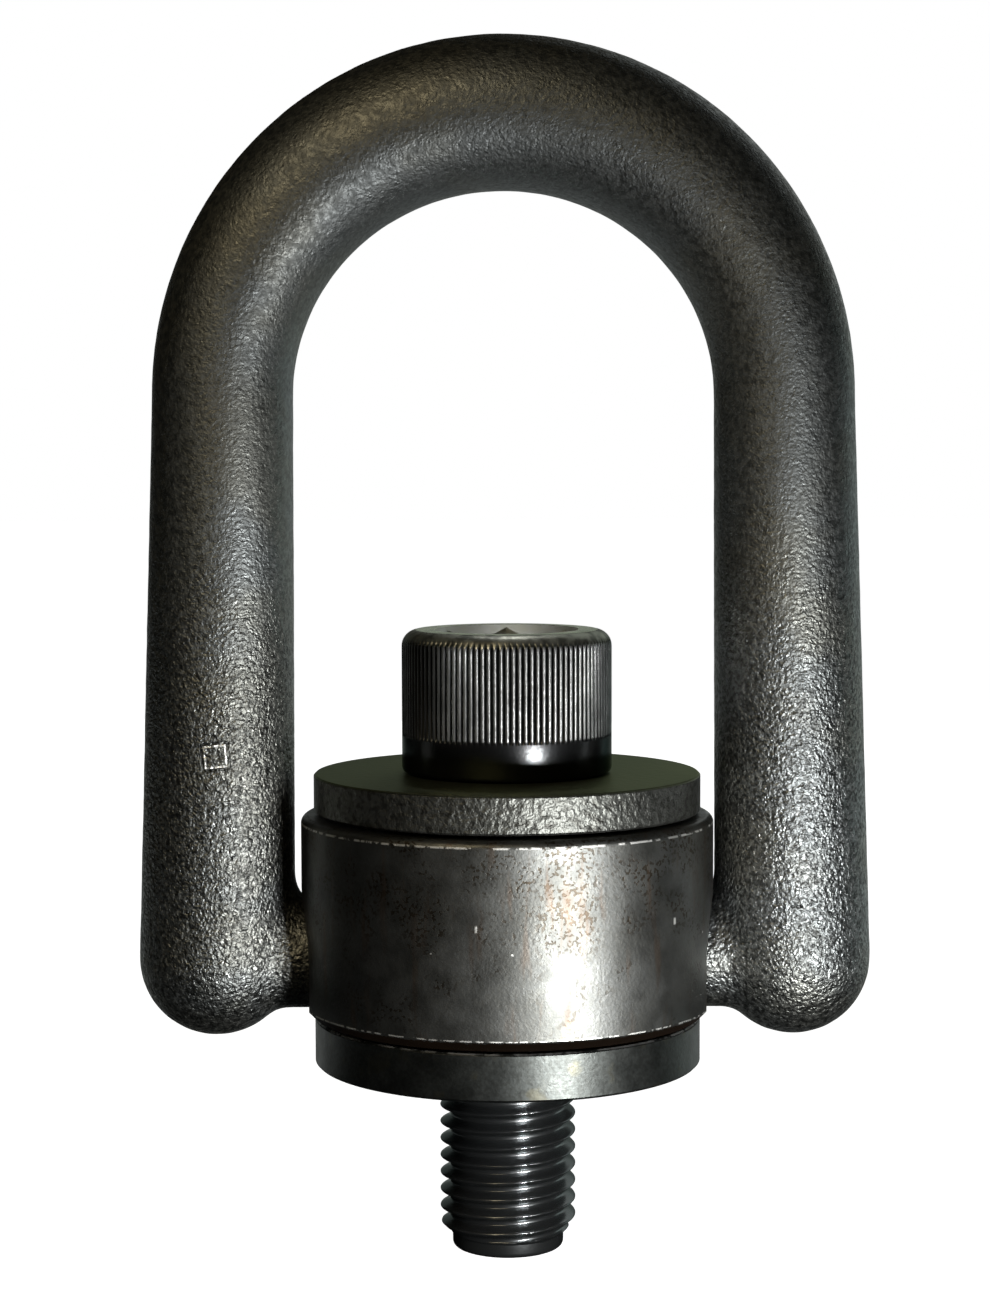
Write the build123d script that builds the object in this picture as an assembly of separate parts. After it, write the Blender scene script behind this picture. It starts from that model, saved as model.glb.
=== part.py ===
from build123d import *
import math
import os

# Swivel hoist ring with an M16 cap screw, in millimetres.
# +Z points up out of the load. The origin is the centre of the mounting face.
# The bail's trunnions lie along X, and the bail stands upright.

# Fits
RUNNING_GAP = 0.08  # radial clearance of every running fit
END_FLOAT = 0.4  # axial play of the swivel body at each end

# Flanged bushing: the fixed core that the body turns on
FLANGE_D = 45.0
FLANGE_T = 5.4
SLEEVE_D = 27.6
SLEEVE_TOP = 29.4
SCREW_BORE_D = 16.0 + 2 * RUNNING_GAP
RECESS_D = 24.0  # pocket in the mounting face that hides the retaining ring
RECESS_DEPTH = 2.0
FLANGE_EDGE = 0.25

# Swivel body: the ring that carries the bail
BODY_D = 48.0
BODY_BOTTOM = FLANGE_T + END_FLOAT
BODY_TOP = SLEEVE_TOP - END_FLOAT
BODY_BORE_D = SLEEVE_D + 2 * RUNNING_GAP
BODY_TOP_ROUND = 0.9
BODY_BOTTOM_CHAMFER = 1.2
BODY_BORE_CHAMFER = 0.5
SLOT_MOUTH_HALF = 8.7  # half width of the trunnion slot where it meets the outside
SLOT_MOUTH_DEPTH = 3.0  # how far in from the outside the mouth tapers

# Top washer
WASHER_D = 45.0
WASHER_T = 4.4
WASHER_HOLE_D = 17.0
WASHER_EDGE = 0.25
WASHER_TOP = SLEEVE_TOP + WASHER_T

# Cap screw: socket head with a straight knurl, plain shank, M16 x 2 right-hand thread
SHANK_D = 16.0
SHANK_BOTTOM = -1.0
HEAD_D = 24.4
HEAD_TOP = 50.45
HEAD_TOP_ROUND = 1.9
HEAD_BOTTOM_CHAMFER = 0.6
KNURL_BOTTOM = 38.5
KNURL_TEETH = 108
KNURL_DEPTH = 0.34
SOCKET_FLATS = 14.0
SOCKET_DEPTH = 8.5
SOCKET_CHAMFER_D = 16.8
SOCKET_CONE_D = 12.6
SOCKET_CONE_DEPTH = 2.2
THREAD_MAJOR_D = 15.9
THREAD_PITCH = 2.0
THREAD_DEPTH = 0.6134 * THREAD_PITCH
THREAD_CREST = THREAD_PITCH / 8
THREAD_ROOT = THREAD_PITCH / 4
THREAD_CREST_Z = -10.42  # height at which one crest passes +X
THREAD_END = -20.6
PILOT_D = 13.0
PILOT_ROUND = 0.6
SCREW_END = -22.2

# Retaining ring: an open spring ring with two plier lugs, in a groove of the shank
RING_T = 1.0
RING_BOTTOM = 0.5
RING_BORE_D = 15.25
RING_OUTER_D = 20.0
RING_OFFSET = 0.4  # the outside is eccentric, so the band is widest opposite the gap
RING_LUG_R = 2.0
RING_LUG_HOLE_D = 1.7
RING_GAP_HALF_ANGLE = 17.0
GROOVE_D = 15.2
GROOVE_GAP = 0.1

# Bail: one round-bar forging whose legs end in balls with inward trunnions
PIVOT_Z = 12.15
TRUNNION_D = 12.0
TRUNNION_TIP = 14.4
TRUNNION_CHAMFER = 0.8
BALL_X = 33.6
BALL_D = 18.2
BOW_CENTRE_Z = 77.3
BOW_R = 32.4
BAR_SPRING_D = 16.3  # bar diameter where the legs meet the bow
BAR_CROWN_D = 17.8  # bar diameter at the top of the bow
BOW_SECTIONS = 13
NECK_R = 3.6  # hollow between leg and trunnion
BAIL_SHIFT = -0.3  # where the bail rests in its side play, which is 0.46 mm to each side


def turned(points):
    """A solid of revolution about Z from (radius, height) points."""
    outline = make_face(Polyline(*points, close=True))
    return revolve(Plane.XZ * outline, Axis.Z)


def rod(diameter, bottom, top):
    """An upright cylinder between two heights."""
    upward = (Align.CENTER, Align.CENTER, Align.MIN)
    return Pos(0, 0, bottom) * Cylinder(diameter / 2, top - bottom, align=upward)


def rims(solid, diameter, height):
    """The circular edges of one diameter that lie at one height."""
    found = []
    for edge in solid.edges().filter_by(GeomType.CIRCLE):
        same_size = abs(edge.radius - diameter / 2) < 0.01
        same_height = abs(edge.arc_center.Z - height) < 0.01
        if same_size and same_height:
            found.append(edge)
    return found


def flanged_bushing():
    """Wide flange that sits on the load, with the sleeve that the body turns on."""
    bushing = rod(FLANGE_D, 0, FLANGE_T) + rod(SLEEVE_D, 0, SLEEVE_TOP)
    bushing -= rod(SCREW_BORE_D, -1, SLEEVE_TOP + 1)
    bushing -= rod(RECESS_D, -1, RECESS_DEPTH)
    edges = rims(bushing, FLANGE_D, 0) + rims(bushing, FLANGE_D, FLANGE_T) + rims(bushing, SLEEVE_D, SLEEVE_TOP)
    return chamfer(edges, FLANGE_EDGE)


def trunnion_slot():
    """Cutter for the +X slot: an arch over the trunnion, open at the bottom, with a tapered mouth."""
    arch_r = TRUNNION_D / 2 + RUNNING_GAP
    outside = BODY_D / 2
    reach = outside + 2
    below = BODY_BOTTOM - 1
    pivot = Plane(origin=(0, 0, PIVOT_Z), x_dir=(0, 1, 0), z_dir=(1, 0, 0))
    arch = extrude(pivot * Circle(arch_r), reach)
    sides = Pos(reach / 2, 0, (PIVOT_Z + below) / 2) * Box(reach, 2 * arch_r, PIVOT_Z - below)
    # the mouth widens in a straight line from the arch to the outside, and on past it
    taper = (SLOT_MOUTH_HALF - arch_r) / SLOT_MOUTH_DEPTH
    inner_x = outside - SLOT_MOUTH_DEPTH
    outer_half = arch_r + taper * (reach - inner_x)
    half_mouth = make_face(
        Polyline((inner_x, 0), (inner_x, arch_r), (reach, outer_half), (reach, 0), close=True)
    )
    pivot_axis = Axis((0, 0, PIVOT_Z), (1, 0, 0))
    mouth_arch = revolve(Pos(0, 0, PIVOT_Z) * half_mouth, pivot_axis)
    full_mouth = half_mouth + mirror(half_mouth, Plane.XZ)
    mouth_sides = extrude(Pos(0, 0, below) * full_mouth, PIVOT_Z - below)
    return arch + sides + mouth_arch + mouth_sides


def swivel_body():
    """Support ring: its two slots drop over the trunnions and the flange closes them below."""
    body = rod(BODY_D, BODY_BOTTOM, BODY_TOP) - rod(BODY_BORE_D, BODY_BOTTOM - 1, BODY_TOP + 1)
    body = fillet(rims(body, BODY_D, BODY_TOP), BODY_TOP_ROUND)
    body = chamfer(rims(body, BODY_D, BODY_BOTTOM), BODY_BOTTOM_CHAMFER)
    body = chamfer(rims(body, BODY_BORE_D, BODY_TOP) + rims(body, BODY_BORE_D, BODY_BOTTOM), BODY_BORE_CHAMFER)
    slot = trunnion_slot()
    return body - slot - slot.rotate(Axis.Z, 180)


def top_washer():
    """Thick washer between the screw head and the sleeve, which keeps the body on."""
    washer = rod(WASHER_D, SLEEVE_TOP, WASHER_TOP) - rod(WASHER_HOLE_D, SLEEVE_TOP - 1, WASHER_TOP + 1)
    return chamfer(washer.edges().filter_by(GeomType.CIRCLE), WASHER_EDGE)


def bail_leg():
    """The +X leg: a tapered bar that runs smoothly into its ball end, with the trunnion filleted on."""
    splay = math.atan2(BALL_X - BOW_R, BOW_CENTRE_Z - PIVOT_Z)
    ball_centre = Vector(BALL_X, 0, PIVOT_Z)
    spring = Vector(BOW_R * math.cos(splay), 0, BOW_CENTRE_Z - BOW_R * math.sin(splay))
    length = (spring - ball_centre).length
    ball_r = BALL_D / 2
    bar_r = BAR_SPRING_D / 2
    # the straight side of the bar touches the ball at this angle above the ball's equator
    touch_angle = math.atan2(length, bar_r) - math.acos(ball_r / math.hypot(bar_r, length))
    touch = (ball_r * math.cos(touch_angle), ball_r * math.sin(touch_angle))
    low_angle = (touch_angle - math.pi / 2) / 2
    low = (ball_r * math.cos(low_angle), ball_r * math.sin(low_angle))
    outline = Wire(
        [
            Line((0, length), (bar_r, length)),
            Line((bar_r, length), touch),
            ThreePointArc(touch, low, (0, -ball_r)),
            Line((0, -ball_r), (0, length)),
        ]
    )
    upright = revolve(Plane.XZ * make_face(outline), Axis.Z)
    leg = Plane(origin=ball_centre, x_dir=(0, 1, 0), z_dir=(spring - ball_centre).normalized()) * upright
    inward_end = Plane(origin=(TRUNNION_TIP, 0, PIVOT_Z), x_dir=(0, 1, 0), z_dir=(1, 0, 0))
    stub = Cylinder(TRUNNION_D / 2, BALL_X - TRUNNION_TIP, align=(Align.CENTER, Align.CENTER, Align.MIN))
    stub = chamfer(stub.faces().sort_by(Axis.Z)[0].edges(), TRUNNION_CHAMFER)
    leg += inward_end * stub
    neck_edges = []
    for edge in leg.edges():
        middle = edge.position_at(0.5)
        between = TRUNNION_TIP + 2 * TRUNNION_CHAMFER < middle.X < BALL_X
        if between and edge.geom_type == GeomType.BSPLINE:
            neck_edges.append(edge)
    return fillet(neck_edges, NECK_R)


def bail_bow():
    """The bow: round sections along a little more than a half circle, thickest at the crown."""
    splay = math.atan2(BALL_X - BOW_R, BOW_CENTRE_Z - PIVOT_Z)
    bow_turn = math.pi + 2 * splay
    sections = []
    for index in range(BOW_SECTIONS):
        angle = bow_turn * index / (BOW_SECTIONS - 1) - splay
        centre = Vector(BOW_R * math.cos(angle), 0, BOW_CENTRE_Z + BOW_R * math.sin(angle))
        along = Vector(-math.sin(angle), 0, math.cos(angle))
        thick = BAR_SPRING_D + (BAR_CROWN_D - BAR_SPRING_D) * max(0.0, math.sin(angle)) ** 2
        sections.append(Plane(origin=centre, x_dir=(0, 1, 0), z_dir=along) * Circle(thick / 2))
    return loft(sections)


def bail():
    """The whole forging: two legs and the bow, moved over to where it rests between the body's sides."""
    leg = bail_leg()
    forging = bail_bow() + leg + leg.rotate(Axis.Z, 180)
    return Pos(BAIL_SHIFT, 0, 0) * forging


def screw_thread():
    """The threaded end: a core with a helical ridge, bevelled at its tip, and a plain pilot."""
    root_r = THREAD_MAJOR_D / 2 - THREAD_DEPTH
    sink = 0.1  # the ridge's foot is sunk this far into the core, so that the two fuse
    helix_bottom = THREAD_CREST_Z - 5 * THREAD_PITCH
    helix_top = SHANK_BOTTOM + 0.8
    turns = Helix(pitch=THREAD_PITCH, height=helix_top - helix_bottom, radius=root_r)
    helix = (Pos(0, 0, helix_bottom) * turns).edges()[0]
    foot_half = (THREAD_PITCH - THREAD_ROOT) / 2
    flank_slope = (foot_half - THREAD_CREST / 2) / THREAD_DEPTH
    sunk_half = foot_half + flank_slope * sink
    outline = Polyline(
        (-sink, -sunk_half),
        (THREAD_DEPTH, -THREAD_CREST / 2),
        (THREAD_DEPTH, THREAD_CREST / 2),
        (-sink, sunk_half),
        close=True,
    )
    section = Plane(origin=helix @ 0, x_dir=(1, 0, 0), z_dir=(0, -1, 0)) * make_face(outline)
    ridge = sweep(section, path=helix, is_frenet=True)
    stud = rod(2 * root_r, SCREW_END, helix_top + THREAD_PITCH) + ridge
    # the lathe's cut that leaves the plain pilot, and a 45 degree bevel on the first turns
    bevel = 3.0
    below = SCREW_END - 1
    tip_cut = turned(
        [
            (PILOT_D / 2, THREAD_END),
            (PILOT_D / 2 + bevel, THREAD_END + bevel),
            (THREAD_MAJOR_D, THREAD_END + bevel),
            (THREAD_MAJOR_D, below),
            (PILOT_D / 2, below),
        ]
    )
    stud -= tip_cut
    return fillet(rims(stud, PILOT_D, SCREW_END), PILOT_ROUND)


def screw_head():
    """Knurled head with a hex socket, whose corners face front and back."""
    head = rod(HEAD_D, WASHER_TOP, HEAD_TOP)
    head = fillet(rims(head, HEAD_D, HEAD_TOP), HEAD_TOP_ROUND)
    head = chamfer(rims(head, HEAD_D, WASHER_TOP), HEAD_BOTTOM_CHAMFER)
    hexagon = RegularPolygon(SOCKET_FLATS / 2, 6, major_radius=False, rotation=30)
    head -= Pos(0, 0, HEAD_TOP - SOCKET_DEPTH) * extrude(hexagon, SOCKET_DEPTH + 1)
    cone_top = HEAD_TOP - SOCKET_DEPTH
    head -= turned([(0, cone_top - SOCKET_CONE_DEPTH), (SOCKET_CONE_D / 2, cone_top), (0, cone_top)])
    mouth_r = SOCKET_CHAMFER_D / 2
    head -= turned([(0, HEAD_TOP - mouth_r), (mouth_r, HEAD_TOP), (mouth_r, HEAD_TOP + 1), (0, HEAD_TOP + 1)])
    # the knurl's grooves are what a toothed outline leaves of a plain ring
    star = []
    for tooth in range(KNURL_TEETH):
        crest_angle = 2 * math.pi * tooth / KNURL_TEETH
        root_angle = crest_angle + math.pi / KNURL_TEETH
        root_r = HEAD_D / 2 - KNURL_DEPTH
        star.append((HEAD_D / 2 * math.cos(crest_angle), HEAD_D / 2 * math.sin(crest_angle)))
        star.append((root_r * math.cos(root_angle), root_r * math.sin(root_angle)))
    grooves = Circle(HEAD_D / 2 + 1) - make_face(Polyline(*star, close=True))
    return head - Pos(0, 0, KNURL_BOTTOM) * extrude(grooves, HEAD_TOP - KNURL_BOTTOM + 1)


def cap_screw():
    """Head, shank with the retaining ring's groove, and thread."""
    groove_bottom = RING_BOTTOM - GROOVE_GAP
    groove_top = RING_BOTTOM + RING_T + GROOVE_GAP
    shank = rod(SHANK_D, SHANK_BOTTOM, WASHER_TOP + 1)
    groove = rod(SHANK_D + 2, groove_bottom, groove_top) - rod(GROOVE_D, groove_bottom, groove_top)
    return screw_head() + (shank + screw_thread() - groove)


def retaining_ring():
    """Open spring ring with plier lugs at its gap, which faces the back."""
    band = Pos(-RING_OFFSET, 0) * Circle(RING_OUTER_D / 2)
    lug_r = RING_BORE_D / 2 + RING_LUG_R - 0.25
    lug_angle = RING_GAP_HALF_ANGLE + math.degrees(math.asin(RING_LUG_R / lug_r))
    for side in (1, -1):
        spot = Rot(0, 0, side * lug_angle) * Pos(lug_r, 0)
        band += spot * Circle(RING_LUG_R)
    band -= Circle(RING_BORE_D / 2)
    for side in (1, -1):
        spot = Rot(0, 0, side * lug_angle) * Pos(lug_r, 0)
        band -= spot * Circle(RING_LUG_HOLE_D / 2)
    gap_reach = RING_OUTER_D
    gap_half = gap_reach * math.tan(math.radians(RING_GAP_HALF_ANGLE))
    band -= make_face(Polyline((0, 0), (gap_reach, gap_half), (gap_reach, -gap_half), close=True))
    return Pos(0, 0, RING_BOTTOM) * Rot(0, 0, 90) * extrude(band, RING_T)


PARTS = {
    "flanged_bushing": flanged_bushing,
    "swivel_body": swivel_body,
    "bail": bail,
    "top_washer": top_washer,
    "cap_screw": cap_screw,
    "retaining_ring": retaining_ring,
}

os.makedirs("parts", exist_ok=True)
for name, make in PARTS.items():
    export_step(make(), f"parts/{name}.step")
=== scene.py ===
import math

import bpy
from mathutils import Matrix, Vector, noise


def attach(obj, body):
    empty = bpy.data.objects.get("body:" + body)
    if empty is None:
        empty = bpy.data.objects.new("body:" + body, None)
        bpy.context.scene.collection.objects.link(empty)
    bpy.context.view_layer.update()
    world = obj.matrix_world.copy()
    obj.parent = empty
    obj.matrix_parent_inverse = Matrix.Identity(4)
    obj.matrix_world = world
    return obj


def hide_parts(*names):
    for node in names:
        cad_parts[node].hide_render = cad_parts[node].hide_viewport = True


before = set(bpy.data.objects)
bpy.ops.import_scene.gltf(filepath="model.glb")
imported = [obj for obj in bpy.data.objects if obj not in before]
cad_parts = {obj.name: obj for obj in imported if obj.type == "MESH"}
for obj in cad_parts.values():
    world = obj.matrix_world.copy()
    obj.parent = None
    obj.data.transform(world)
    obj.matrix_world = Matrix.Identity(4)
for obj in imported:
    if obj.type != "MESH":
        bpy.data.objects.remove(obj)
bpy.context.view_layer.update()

MM = 0.001

# Measures of the CAD part that the looks follow, in millimetres
BODY_LOW_EDGE = 7.0
BODY_TOP_EDGE = 28.1
FLANGE_TOP = 5.4
FLANGE_R = 22.5
WASHER_TOP = 33.8

# Cap screw
HEAD_R = 12.2
HEAD_TOP = 50.45
HEAD_BOTTOM = WASHER_TOP
HEAD_ROUND = 1.9
HEAD_ROUND_STEPS = 10
KNURL_TEETH = 108
KNURL_DEPTH = 0.3
KNURL_BOTTOM = 38.5
KNURL_RUNOUT = 0.3
SOCKET_FLAT = 7.0
SOCKET_DEPTH = 8.5
SOCKET_MOUTH_R = 8.4
SOCKET_CONE_R = 6.3
SOCKET_CONE_DEPTH = 2.2
POLE_R = 0.3
SHANK_R = 8.0
SHANK_BOTTOM = -1.0
GROOVE_R = 7.6
GROOVE_TOP = 1.6
GROOVE_BOTTOM = 0.4
THREAD_R = 7.95
THREAD_PITCH = 2.0
THREAD_DEPTH = 1.227
CREST_HALF = 0.125
ROOT_HALF = 0.25
CREST_Z = -10.42
THREAD_END = -20.6
THREAD_EASE = 0.11
THREAD_COLUMNS = 120
THREAD_ROW = 0.08
PILOT_R = 6.5
PILOT_ROUND = 0.6
PILOT_ROUND_STEPS = 6
SCREW_END = -22.2
SHARP_DEGREES = 38

# The floor lies a hair under the screw's end
FLOOR_Z = SCREW_END - 0.05
FLOOR_HALF = 3000

# Small marks on the bail's front, as (x, z)
MARK_PLACE = (-33.1, 36.6)
MARK_HALF = 1.5
MARK_TILT = 0.1
NICK_PLACE = (32.9, 19.3)

# Two bright dings on the body's front, as (x, z), and the middle of its rusty pits
DINGS = ((-3.5, 19.4), (18.6, 18.8))
PITS_X = 6.6

# Bail skin
BAIL_VOXEL = 0.42
BAIL_SMOOTHING = 4
DENT_DEPTH = 0.05
DENT_SIZE = 2.2
DENT_FALLOFF = 1.0
DENT_STEP = 2.0
DENT_OCTAVES = 3

# Camera, with its angles in degrees
CAMERA_PLACE = (-1.35, -320.0, 72.2)
CAMERA_DOWN = 4.22
CAMERA_ROLL = -0.16
LENS = 77.1
SENSOR = 36.0

WHITE = (1.0, 1.0, 1.0)


class Shader:
    """A material's node tree, with short ways to add the nodes used here. Lengths are in mm."""

    def __init__(self, name):
        self.material = bpy.data.materials.new(name)
        self.material.use_nodes = True
        self.tree = self.material.node_tree
        self.principled = self.tree.nodes["Principled BSDF"]
        place = self.tree.nodes.new("ShaderNodeTexCoord")
        scale = self.tree.nodes.new("ShaderNodeVectorMath")
        scale.operation = "SCALE"
        scale.inputs["Scale"].default_value = 1 / MM
        self.tree.links.new(place.outputs["Object"], scale.inputs[0])
        self.place = scale.outputs[0]
        split = self.tree.nodes.new("ShaderNodeSeparateXYZ")
        self.tree.links.new(self.place, split.inputs[0])
        self.x, self.y, self.z = split.outputs

    def feed(self, socket, value):
        """Sets an input to a number or colour, or links it to another node's output."""
        if isinstance(value, bpy.types.NodeSocket):
            self.tree.links.new(value, socket)
        elif isinstance(value, tuple) and len(value) == 3 and socket.type == "RGBA":
            socket.default_value = (*value, 1)
        else:
            socket.default_value = value

    def math(self, operation, first, second=0.0):
        """One sum on one or two values."""
        node = self.tree.nodes.new("ShaderNodeMath")
        node.operation = operation
        self.feed(node.inputs[0], first)
        self.feed(node.inputs[1], second)
        return node.outputs[0]

    def stretch(self, factors):
        """The place in mm with each axis multiplied by a factor."""
        node = self.tree.nodes.new("ShaderNodeVectorMath")
        node.operation = "MULTIPLY"
        self.feed(node.inputs[0], self.place)
        self.feed(node.inputs[1], factors)
        return node.outputs[0]

    def noise(self, size, detail=2.0, roughness=0.5, at=None):
        """Soft noise from 0 to 1 whose blobs are about size mm across."""
        node = self.tree.nodes.new("ShaderNodeTexNoise")
        self.feed(node.inputs["Vector"], at or self.place)
        self.feed(node.inputs["Scale"], 1 / size)
        self.feed(node.inputs["Detail"], detail)
        self.feed(node.inputs["Roughness"], roughness)
        return node.outputs[0]

    def turning_marks(self):
        """Fine rings around the screw's axis, as a lathe leaves them."""
        return self.noise(0.25, 2.0, at=self.stretch((0.01, 0.01, 1.0)))

    def cells(self, size):
        """Distance to the nearest of many scattered points about size mm apart."""
        node = self.tree.nodes.new("ShaderNodeTexVoronoi")
        self.feed(node.inputs["Vector"], self.place)
        self.feed(node.inputs["Scale"], 1 / size)
        return node.outputs["Distance"]

    def ramp(self, value, start, end, low=0.0, high=1.0):
        """Maps start..end to low..high with soft ends, and clamps outside."""
        node = self.tree.nodes.new("ShaderNodeMapRange")
        node.interpolation_type = "SMOOTHSTEP"
        for name, number in (("From Min", start), ("From Max", end), ("To Min", low), ("To Max", high)):
            self.feed(node.inputs[name], number)
        self.feed(node.inputs["Value"], value)
        return node.outputs[0]

    def blend(self, factor, first, second):
        """Mixes two colours."""
        node = self.tree.nodes.new("ShaderNodeMix")
        node.data_type = "RGBA"
        self.feed(node.inputs[0], factor)
        self.feed(node.inputs[6], first)
        self.feed(node.inputs[7], second)
        return node.outputs[2]

    def bump(self, height, depth, normal=None):
        """Relief whose height from 0 to 1 stands for depth mm."""
        node = self.tree.nodes.new("ShaderNodeBump")
        self.feed(node.inputs["Strength"], 1.0)
        self.feed(node.inputs["Distance"], depth * MM)
        self.feed(node.inputs["Height"], height)
        if normal:
            self.feed(node.inputs["Normal"], normal)
        return node.outputs[0]

    def rounded(self, radius):
        """The surface normal with every edge eased to a radius in mm."""
        node = self.tree.nodes.new("ShaderNodeBevel")
        node.samples = 8
        self.feed(node.inputs["Radius"], radius * MM)
        return node.outputs[0]

    def radius(self):
        """Distance from the screw's axis in mm."""
        x_squared = self.math("MULTIPLY", self.x, self.x)
        y_squared = self.math("MULTIPLY", self.y, self.y)
        return self.math("POWER", self.math("ADD", x_squared, y_squared), 0.5)

    def band(self, value, centre, half, soft):
        """1 within half of centre, falling to 0 over soft beyond it."""
        away = self.math("ABSOLUTE", self.math("SUBTRACT", value, centre))
        return self.ramp(away, half, half + soft, 1.0, 0.0)

    def both(self, *masks):
        """The product of several masks."""
        product = masks[0]
        for mask in masks[1:]:
            product = self.math("MULTIPLY", product, mask)
        return product

    def finish(self, color, roughness, metallic=1.0, normal=None, glancing=WHITE):
        """Sets the surface; glancing is the metal's tint where it is seen nearly edge on."""
        self.feed(self.principled.inputs["Base Color"], color)
        self.feed(self.principled.inputs["Roughness"], roughness)
        self.feed(self.principled.inputs["Metallic"], metallic)
        self.feed(self.principled.inputs["Specular Tint"], glancing)
        if normal:
            self.feed(self.principled.inputs["Normal"], normal)
        return self.material


def forged_steel():
    """Peened and black oxided forging: small bright facets, slightly brown in broad patches."""
    cool_film = (0.216, 0.230, 0.232)
    warm_film = (0.222, 0.226, 0.208)
    hollows = (0.05, 0.052, 0.050)
    bow_painted_shade = (0.10, 0.105, 0.103)
    groove = (0.02, 0.02, 0.02)
    bright_burr = (0.85, 0.86, 0.84)
    s = Shader("forged_steel")
    patches = s.ramp(s.noise(14.0, 3.0), 0.42, 0.62)
    color = s.blend(patches, cool_film, warm_film)
    # the peening is deepest and darkest on the legs, and fades towards the bow
    upper = s.ramp(s.z, 28.0, 78.0)
    grain = s.ramp(s.noise(0.5, 2.0), 0.42, 0.62)
    color = s.blend(s.both(grain, s.ramp(upper, 0.0, 1.0, 0.8, 0.35)), color, hollows)
    # painted shade: the colour darkens upwards towards the bow
    color = s.blend(s.both(upper, 0.35), color, bow_painted_shade)
    roughness = s.ramp(s.noise(0.8, 2.0), 0.3, 0.7, 0.37, 0.55)
    roughness = s.math("ADD", roughness, s.math("MULTIPLY", upper, 0.07))
    peening = s.math("MULTIPLY", s.noise(0.45, 1.5, 0.6), s.ramp(upper, 0.0, 1.0, 0.30, 0.11))
    normal = s.bump(peening, 1.0)
    # a small square punch mark on one leg and a nick on the other
    right = s.math("SUBTRACT", s.x, MARK_PLACE[0])
    up = s.math("SUBTRACT", s.z, MARK_PLACE[1])
    across = s.math("ABSOLUTE", s.math("ADD", right, s.math("MULTIPLY", up, MARK_TILT)))
    upward = s.math("ABSOLUTE", s.math("SUBTRACT", up, s.math("MULTIPLY", right, MARK_TILT)))
    reach = s.math("MAXIMUM", across, upward)
    outline = s.band(reach, MARK_HALF, 0.10, 0.10)
    burr = s.both(s.band(reach, MARK_HALF - 0.28, 0.08, 0.08), s.ramp(s.noise(1.2, 2.0), 0.25, 0.45))
    nick = s.both(s.band(s.x, NICK_PLACE[0], 0.5, 0.3), s.band(s.z, NICK_PLACE[1], 0.06, 0.15))
    front = s.ramp(s.y, -4.0, -6.0)
    cut = s.both(front, s.math("MAXIMUM", outline, nick))
    normal = s.bump(s.math("SUBTRACT", 1.0, cut), 0.3, normal)
    color = s.blend(s.both(cut, 0.6), color, groove)
    color = s.blend(s.both(front, burr), color, bright_burr)
    return s.finish(color, roughness, normal=normal)


def machined_steel():
    """Turned and oxided steel, rubbed bright on its edges, with fine pits and brown stains."""
    thin_film = (0.136, 0.140, 0.136)
    thick_film = (0.090, 0.092, 0.087)
    grains = (0.11, 0.11, 0.10)
    painted_shade_left = (0.035, 0.035, 0.035)
    rust_pits = (0.040, 0.031, 0.021)
    brown_stain = (0.10, 0.07, 0.05)
    gap_rust_and_shade = (0.014, 0.009, 0.006)
    bare_edge = (0.60, 0.60, 0.58)
    s = Shader("machined_steel")
    film = s.ramp(s.noise(7.0, 4.0, 0.55), 0.35, 0.65)
    color = s.blend(film, thin_film, thick_film)
    speck = s.ramp(s.noise(0.4, 2.0), 0.35, 0.65)
    color = s.blend(s.both(speck, 0.45), color, grains)
    # painted shade: the body turns darker towards its left side
    shaded = s.ramp(s.x, -20.0, -5.0, 0.5, 0.0)
    color = s.blend(shaded, color, painted_shade_left)
    front = s.ramp(s.y, 0.0, -5.0)
    # brown pits, thicker in the upper half and in one patch on the front
    pitted = s.ramp(s.math("ADD", s.noise(4.0, 3.0), s.ramp(s.z, 14.0, 22.0, 0.0, 0.12)), 0.52, 0.72)
    rusted = s.both(s.band(s.x, PITS_X, 2.0, 3.0), front, s.ramp(s.z, 14.0, 18.5, 0.0, 0.9))
    pitted = s.math("MAXIMUM", pitted, rusted)
    pits = s.both(pitted, s.ramp(s.noise(0.42, 1.0), 0.53, 0.61))
    color = s.blend(s.both(pits, 0.85), color, rust_pits)
    streaks = s.ramp(s.noise(1.0, 3.0, at=s.stretch((0.55, 0.55, 0.08))), 0.56, 0.70)
    color = s.blend(s.both(streaks, 0.5), color, brown_stain)
    # rust and painted shade with a ragged rim at the gap over the flange, and rubbed edges
    ragged_z = s.math("ADD", s.z, s.math("MULTIPLY", s.noise(0.5, 3.0), 0.5))
    low = s.ramp(ragged_z, BODY_LOW_EDGE + 0.22, BODY_LOW_EDGE + 0.02)
    color = s.blend(low, color, gap_rust_and_shade)
    edge_low = s.band(s.z, BODY_LOW_EDGE + 0.06, 0.04, 0.10)
    edge_top = s.band(s.z, BODY_TOP_EDGE + 0.15, 0.05, 0.12)
    broken = s.ramp(s.noise(1.0, 3.0), 0.43, 0.52)
    edge = s.both(s.math("MAXIMUM", edge_low, edge_top), broken)
    for x, z in DINGS:
        ding = s.both(s.band(s.x, x, 0.08, 0.10), s.band(s.z, z, 0.25, 0.25), front)
        edge = s.math("MAXIMUM", edge, ding)
    small_dings = s.ramp(s.cells(4.5), 0.040, 0.025)
    edge = s.math("MAXIMUM", edge, small_dings)
    color = s.blend(edge, color, bare_edge)
    roughness = s.ramp(s.noise(2.5, 4.0), 0.3, 0.7, 0.42, 0.50)
    roughness = s.math("ADD", roughness, s.math("MULTIPLY", edge, 0.12))
    roughness = s.math("ADD", roughness, s.math("MULTIPLY", low, 0.3))
    normal = s.bump(s.turning_marks(), 0.006)
    normal = s.bump(s.noise(0.45, 2.0, 0.6), 0.028, normal)
    normal = s.bump(s.math("SUBTRACT", 1.0, pits), 0.008, normal)
    return s.finish(color, roughness, normal=normal)


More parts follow.
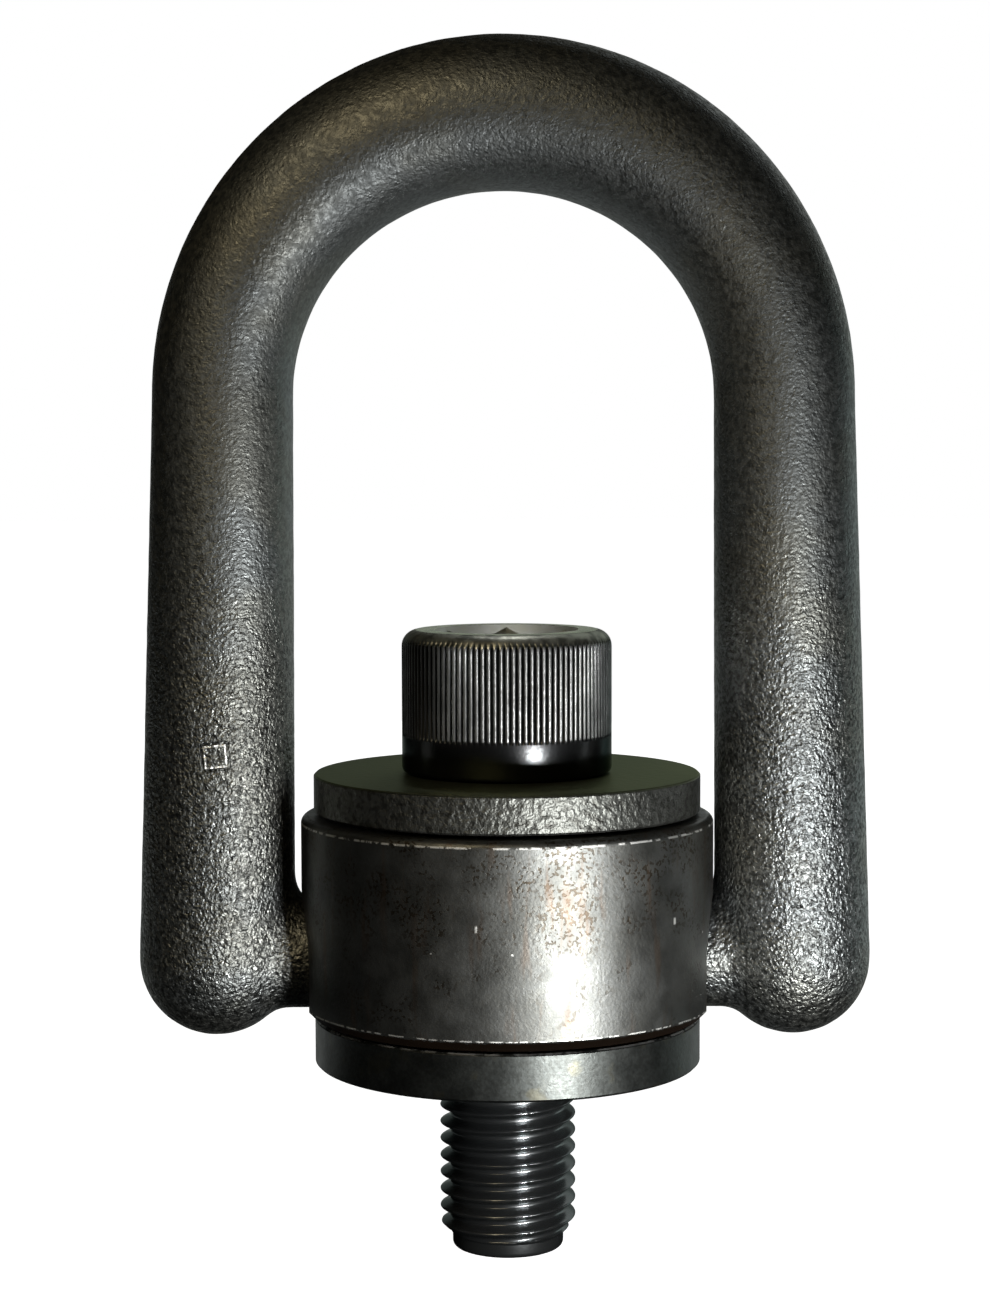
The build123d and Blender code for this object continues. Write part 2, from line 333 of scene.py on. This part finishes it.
def bushing_steel():
    """The bushing's flange: the same steel, turned a little smoother."""
    dark_film = (0.068, 0.073, 0.070)
    grains = (0.036, 0.037, 0.034)
    olive_stain = (0.09, 0.085, 0.06)
    bare_rim = (0.55, 0.56, 0.55)
    s = Shader("bushing_steel")
    speck = s.ramp(s.noise(0.42, 3.0), 0.35, 0.65)
    color = s.blend(s.both(speck, 0.5), dark_film, grains)
    stain = s.ramp(s.noise(3.0, 4.0), 0.55, 0.68)
    color = s.blend(s.both(stain, 0.5), color, olive_stain)
    rim = s.both(s.band(s.z, FLANGE_TOP, 0.1, 0.12), s.ramp(s.noise(1.5, 3.0), 0.4, 0.55))
    rim = s.both(rim, s.ramp(s.radius(), FLANGE_R - 0.7, FLANGE_R - 0.4))
    color = s.blend(rim, color, bare_rim)
    roughness = s.ramp(s.noise(2.5, 4.0), 0.3, 0.7, 0.37, 0.45)
    normal = s.bump(s.turning_marks(), 0.004, s.rounded(0.08))
    normal = s.bump(s.noise(0.5, 2.0, 0.6), 0.018, normal)
    return s.finish(color, roughness, normal=normal)


def washer_steel():
    """The washer's oxided skin, coarser than the turned parts."""
    thin_film = (0.152, 0.157, 0.146)
    thick_film = (0.088, 0.090, 0.084)
    hollows = (0.05, 0.05, 0.045)
    oily_top = (0.12, 0.13, 0.09)
    top_glance = (0.78, 0.85, 0.62)
    roughness = 0.48
    s = Shader("washer_steel")
    color = s.blend(s.noise(0.8, 3.0), thin_film, thick_film)
    dark = s.ramp(s.noise(0.8, 2.0), 0.5, 0.62)
    color = s.blend(s.both(dark, 0.7), color, hollows)
    top = s.ramp(s.z, WASHER_TOP - 0.3, WASHER_TOP - 0.05)
    color = s.blend(top, color, oily_top)
    skin = s.math("MULTIPLY", s.noise(0.85, 2.0, 0.6), s.ramp(top, 0.0, 1.0, 0.26, 0.05))
    normal = s.bump(skin, 1.0, s.rounded(0.08))
    return s.finish(color, roughness, normal=normal, glancing=s.blend(top, WHITE, top_glance))


def screw_steel():
    """Black and slightly oily screw, with the crests of its knurl rubbed bright and dimmed towards both
    sides as painted shade.
    """
    dark_film = (0.045, 0.048, 0.05)
    grey_film = (0.075, 0.076, 0.078)
    knurl_valleys = (0.012, 0.012, 0.013)
    bare_crests = (0.93, 0.95, 0.95)
    bare_thread = (0.17, 0.178, 0.182)
    bare_socket = (0.50, 0.51, 0.50)
    worn_top = (0.45, 0.46, 0.40)
    side_glance = (0.32, 0.34, 0.33)
    top_glance = (0.85, 0.9, 0.7)
    s = Shader("screw_steel")
    color = s.blend(s.noise(2.0, 3.0), dark_film, grey_film)
    radius = s.radius()
    knurled = s.ramp(s.z, KNURL_BOTTOM - 0.1, KNURL_BOTTOM + 0.1)
    crest = s.ramp(radius, HEAD_R - 0.15, HEAD_R - 0.04)
    # painted shade: the rubbed bright crests fade towards both sides of the head
    crest_side_shade = s.both(s.ramp(s.x, -9.5, -5.5, 0.12, 1.0), s.ramp(s.x, 12.0, 9.8, 0.3, 1.0))
    patchy = s.ramp(s.noise(2.0, 3.0), 0.3, 0.6, 0.65, 1.0)
    rubbed_crests_and_side_shade = s.both(crest, knurled, patchy, crest_side_shade)
    color = s.blend(s.both(knurled, 0.7), color, knurl_valleys)
    color = s.blend(rubbed_crests_and_side_shade, color, bare_crests)
    thread = s.ramp(s.z, 0.0, -0.5)
    color = s.blend(thread, color, bare_thread)
    inside = s.ramp(radius, SOCKET_MOUTH_R + 0.1, SOCKET_MOUTH_R - 0.1)
    socket = s.both(inside, s.ramp(s.z, 40.0, 41.0))
    color = s.blend(socket, color, bare_socket)
    top = s.ramp(s.z, HEAD_TOP - 1.6, HEAD_TOP - 0.5)
    worn = s.ramp(s.noise(1.5, 3.0), 0.35, 0.6, 0.35, 0.9)
    color = s.blend(s.both(top, worn), color, worn_top)
    flat = s.ramp(s.z, HEAD_TOP - 0.04, HEAD_TOP - 0.01)
    soft = s.math("SUBTRACT", s.math("MAXIMUM", socket, top), flat)
    roughness = s.math("ADD", 0.24, s.math("MULTIPLY", soft, 0.18))
    roughness = s.math("ADD", roughness, s.math("MULTIPLY", socket, 0.12))
    normal = s.bump(s.noise(0.5, 2.0), 0.012)
    glancing = s.blend(flat, side_glance, top_glance)
    return s.finish(color, roughness, metallic=0.95, normal=normal, glancing=glancing)


def spring_steel():
    """Grey phosphated ring."""
    dark_grain = (0.05, 0.05, 0.05)
    pale_grain = (0.08, 0.08, 0.075)
    roughness = 0.5
    s = Shader("spring_steel")
    color = s.blend(s.noise(0.6, 3.0), dark_grain, pale_grain)
    return s.finish(color, roughness, metallic=0.8)


def dress(piece, material):
    """Gives a piece one material."""
    piece.data.materials.clear()
    piece.data.materials.append(material)


def smooth(piece):
    """Shades every face of a piece smoothly."""
    for polygon in piece.data.polygons:
        polygon.use_smooth = True


def make_bail():
    """The bail with an even skin of small faces and real shallow dents."""
    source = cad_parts["bail"]
    bail = bpy.data.objects.new("bail_forging", source.data.copy())
    bpy.context.scene.collection.objects.link(bail)
    remesh = bail.modifiers.new("skin", "REMESH")
    remesh.mode = "VOXEL"
    remesh.voxel_size = BAIL_VOXEL * MM
    relax = bail.modifiers.new("relax", "SMOOTH")
    relax.iterations = BAIL_SMOOTHING
    graph = bpy.context.evaluated_depsgraph_get()
    skin = bpy.data.meshes.new_from_object(bail.evaluated_get(graph))
    bail.modifiers.clear()
    bail.data = skin
    normals = [vertex.normal.copy() for vertex in skin.vertices]
    for vertex, normal in zip(skin.vertices, normals):
        place = vertex.co / (DENT_SIZE * MM)
        dent = 0.5 + 0.5 * noise.fractal(place, DENT_FALLOFF, DENT_STEP, DENT_OCTAVES)
        vertex.co -= normal * (dent * DENT_DEPTH * MM)
    smooth(bail)
    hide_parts("bail")
    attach(bail, "bail")
    return bail


def shell(rings):
    """A closed mesh from rings of (x, y, z) points in mm, listed from one pole to the other."""
    columns = len(rings[0])
    points = [(x * MM, y * MM, z * MM) for corners in rings for x, y, z in corners]
    faces = []
    for row in range(len(rings) - 1):
        for column in range(columns):
            after = (column + 1) % columns
            here = row * columns
            below = here + columns
            faces.append((here + column, below + column, below + after, here + after))
    faces.append(tuple(range(columns)))
    last = (len(rings) - 1) * columns
    faces.append(tuple(last + column for column in reversed(range(columns))))
    return points, faces


def ring(columns, z, radius_at):
    """One ring of points, radius_at(angle) away from the screw's axis, at height z or z(angle)."""
    points = []
    for column in range(columns):
        angle = 2 * math.pi * column / columns
        radius = radius_at(angle)
        height = z(angle) if callable(z) else z
        points.append((radius * math.cos(angle), radius * math.sin(angle), height))
    return points


def hexagon_radius(angle):
    """Distance from the axis to the socket's wall, whose corners face front and back."""
    from_flat = (angle + math.pi / 6) % (math.pi / 3) - math.pi / 6
    return SOCKET_FLAT / math.cos(from_flat)


def socket_edge_z(angle):
    """Height at which the chamfer of the socket's mouth meets its wall."""
    return HEAD_TOP - SOCKET_MOUTH_R + hexagon_radius(angle)


def knurl_radius(angle):
    """Rounded ridges with sharp valleys."""
    wave = abs(math.cos(KNURL_TEETH * angle / 2))
    return HEAD_R - KNURL_DEPTH * (1 - wave)


def head_rings():
    """The head and plain shank, from the bottom of the socket over the outside to the shank's end."""
    columns = KNURL_TEETH * 8
    floor = HEAD_TOP - SOCKET_DEPTH
    rings = [ring(columns, floor - SOCKET_CONE_DEPTH, lambda angle: POLE_R)]
    rings.append(ring(columns, floor, lambda angle: SOCKET_CONE_R))
    rings.append(ring(columns, floor, hexagon_radius))
    rings.append(ring(columns, socket_edge_z, hexagon_radius))
    rings.append(ring(columns, HEAD_TOP, lambda angle: SOCKET_MOUTH_R))
    for step in range(HEAD_ROUND_STEPS + 1):
        turn = step / HEAD_ROUND_STEPS * math.pi / 2
        outline = HEAD_R - HEAD_ROUND * (1 - math.sin(turn))
        z = HEAD_TOP - HEAD_ROUND * (1 - math.cos(turn))
        rings.append(ring(columns, z, lambda angle: min(outline, knurl_radius(angle))))
    rings.append(ring(columns, KNURL_BOTTOM, knurl_radius))
    profile = [
        (HEAD_R, KNURL_BOTTOM - KNURL_RUNOUT),
        (HEAD_R, KNURL_BOTTOM - KNURL_RUNOUT - 0.06),
        (HEAD_R, HEAD_BOTTOM + 0.7),
        (HEAD_R - 0.12, HEAD_BOTTOM + 0.35),
        (HEAD_R - 0.6, HEAD_BOTTOM),
        (SHANK_R, HEAD_BOTTOM),
        (SHANK_R, GROOVE_TOP),
        (GROOVE_R, GROOVE_TOP),
        (GROOVE_R, GROOVE_BOTTOM),
        (SHANK_R, GROOVE_BOTTOM),
        (SHANK_R, SHANK_BOTTOM),
        (POLE_R, SHANK_BOTTOM),
    ]
    for radius, z in profile:
        rings.append(ring(columns, z, lambda angle: radius))
    return rings


def thread_radius(angle, z):
    """Distance from the axis to the rounded helical thread, bevelled where the pilot begins."""
    shifts = (-1.0, -0.5, 0.0, 0.5, 1.0)
    total = 0.0
    for shift in shifts:
        phase = (z + shift * THREAD_EASE - CREST_Z) / THREAD_PITCH - angle / (2 * math.pi)
        off_crest = abs((phase + 0.5) % 1.0 - 0.5) * THREAD_PITCH
        fall = (off_crest - CREST_HALF) / (THREAD_PITCH / 2 - CREST_HALF - ROOT_HALF)
        total += THREAD_R - THREAD_DEPTH * min(1.0, max(0.0, fall))
    radius = total / len(shifts)
    bevel = PILOT_R + max(0.0, z - THREAD_END)
    return min(radius, bevel)


def thread_rings():
    """The threaded end and its pilot, from just inside the shank down."""
    columns = THREAD_COLUMNS
    z = SHANK_BOTTOM + 0.1
    rings = [ring(columns, z, lambda angle: POLE_R)]
    while z > THREAD_END - 0.05:
        rings.append(ring(columns, z, lambda angle: thread_radius(angle, z)))
        z -= THREAD_ROW
    rings.append(ring(columns, SCREW_END + PILOT_ROUND, lambda angle: PILOT_R))
    for step in range(1, PILOT_ROUND_STEPS + 1):
        turn = step / PILOT_ROUND_STEPS * math.pi / 2
        radius = PILOT_R - PILOT_ROUND * (1 - math.cos(turn))
        z = SCREW_END + PILOT_ROUND * (1 - math.sin(turn))
        rings.append(ring(columns, z, lambda angle: radius))
    rings.append(ring(columns, SCREW_END, lambda angle: POLE_R))
    return rings


def make_screw():
    """The cap screw with rounded knurl ridges and thread crests."""
    points, faces = shell(head_rings())
    more_points, more_faces = shell(thread_rings())
    shift = len(points)
    points += more_points
    faces += [tuple(corner + shift for corner in face) for face in more_faces]
    mesh = bpy.data.meshes.new("cap_screw_fine")
    mesh.from_pydata(points, [], faces)
    screw = bpy.data.objects.new("cap_screw_fine", mesh)
    bpy.context.scene.collection.objects.link(screw)
    smooth(screw)
    mesh.set_sharp_from_angle(angle=math.radians(SHARP_DEGREES))
    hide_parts("cap_screw")
    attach(screw, "screw")
    return screw


def make_camera():
    """A long lens 32 cm in front of the screw's axis, looking a little down."""
    data = bpy.data.cameras.new("camera")
    data.sensor_width = SENSOR
    data.lens = LENS
    data.clip_start = 0.01
    data.clip_end = 20.0
    camera = bpy.data.objects.new("camera", data)
    bpy.context.scene.collection.objects.link(camera)
    pitch = Matrix.Rotation(math.radians(90 - CAMERA_DOWN), 4, "X")
    roll = Matrix.Rotation(math.radians(CAMERA_ROLL), 4, "Z")
    camera.matrix_world = Matrix.Translation(Vector(CAMERA_PLACE) * MM) @ pitch @ roll
    bpy.context.scene.camera = camera


def area_light(name, place, target, size, power, color, spread=180):
    """A soft lamp that faces a target. Lengths are in mm, and spread is its beam in degrees."""
    data = bpy.data.lights.new(name, "AREA")
    data.shape = "RECTANGLE"
    data.size = size[0] * MM
    data.size_y = size[1] * MM
    data.energy = power
    data.color = color
    data.spread = math.radians(spread)
    lamp = bpy.data.objects.new(name, data)
    bpy.context.scene.collection.objects.link(lamp)
    lamp.location = Vector(place) * MM
    aim = Vector(target) - Vector(place)
    lamp.rotation_euler = aim.to_track_quat("-Z", "Y").to_euler()
    lamp.visible_camera = False


def make_floor():
    """A plain pale floor that glows softly, so that it stays even under the near lamp."""
    mesh = bpy.data.meshes.new("floor")
    half = FLOOR_HALF * MM
    z = FLOOR_Z * MM
    corners = [(-half, -half, z), (half, -half, z), (half, half, z), (-half, half, z)]
    mesh.from_pydata(corners, [], [(0, 1, 2, 3)])
    floor = bpy.data.objects.new("floor", mesh)
    bpy.context.scene.collection.objects.link(floor)
    material = bpy.data.materials.new("floor")
    material.use_nodes = True
    shader = material.node_tree.nodes["Principled BSDF"]
    shader.inputs["Base Color"].default_value = (0.9, 0.9, 0.9, 1)
    shader.inputs["Roughness"].default_value = 0.9
    shader.inputs["Emission Color"].default_value = (1, 1, 1, 1)
    shader.inputs["Emission Strength"].default_value = 1.0
    dress(floor, material)
    floor.visible_glossy = False
    floor.visible_diffuse = False


def make_world():
    """White behind the object, and a dim room in what the metal reflects."""
    world = bpy.data.worlds.new("world")
    bpy.context.scene.world = world
    world.use_nodes = True
    tree = world.node_tree
    backdrop = tree.nodes["Background"]
    backdrop.inputs["Color"].default_value = (1, 1, 1, 1)
    room = tree.nodes.new("ShaderNodeBackground")
    room.inputs["Color"].default_value = (0.9, 1.0, 0.97, 1)
    room.inputs["Strength"].default_value = 0.008
    rays = tree.nodes.new("ShaderNodeLightPath")
    mix = tree.nodes.new("ShaderNodeMixShader")
    tree.links.new(rays.outputs["Is Camera Ray"], mix.inputs[0])
    tree.links.new(room.outputs[0], mix.inputs[1])
    tree.links.new(backdrop.outputs[0], mix.inputs[2])
    tree.links.new(mix.outputs[0], tree.nodes["World Output"].inputs[0])


def make_lights():
    """A small key lamp low at the right front, and dim cards and lamps around it."""
    neutral = (1.0, 1.0, 0.99)
    green_white = (0.85, 1.0, 0.95)
    pale_green = (0.92, 1.0, 0.96)
    pale = (0.95, 1.0, 0.97)
    warm = (1.0, 0.82, 0.52)
    area_light("key", (78, -139, -7), (0, 0, 8), size=(30, 26), power=0.095, color=neutral, spread=84)
    area_light("right_fill", (450, 300, 30), (0, 0, 30), size=(300, 300), power=0.2, color=green_white)
    area_light("backdrop", (60, 600, 60), (0, 0, 40), size=(900, 300), power=0.32, color=pale_green)
    area_light("back_fill", (230, 430, 300), (0, 0, 40), size=(350, 350), power=0.3, color=pale)
    area_light("back_card", (0, 190, -20), (0, 190, 100), size=(560, 300), power=0.16, color=pale)
    area_light("socket_glint", (0, 110, 270), (0, 0, 50), size=(10, 10), power=0.0006, color=WHITE, spread=4)
    area_light("warm_fill", (-120, -260, 260), (0, 0, 90), size=(150, 150), power=0.25, color=warm)


make_camera()
make_world()
make_floor()
make_lights()
bpy.context.scene.view_settings.view_transform = "Standard"

bail = make_bail()
finishes = {
    "forged_steel": forged_steel(),
    "machined_steel": machined_steel(),
    "bushing_steel": bushing_steel(),
    "washer_steel": washer_steel(),
    "screw_steel": screw_steel(),
    "spring_steel": spring_steel(),
}
screw = make_screw()
dress(bail, finishes["forged_steel"])
dress(screw, finishes["screw_steel"])
worn_by = {
    "bail": "forged_steel",
    "swivel_body": "machined_steel",
    "flanged_bushing": "bushing_steel",
    "top_washer": "washer_steel",
    "cap_screw": "screw_steel",
    "retaining_ring": "spring_steel",
}
for node, slot in worn_by.items():
    dress(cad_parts[node], finishes[slot])
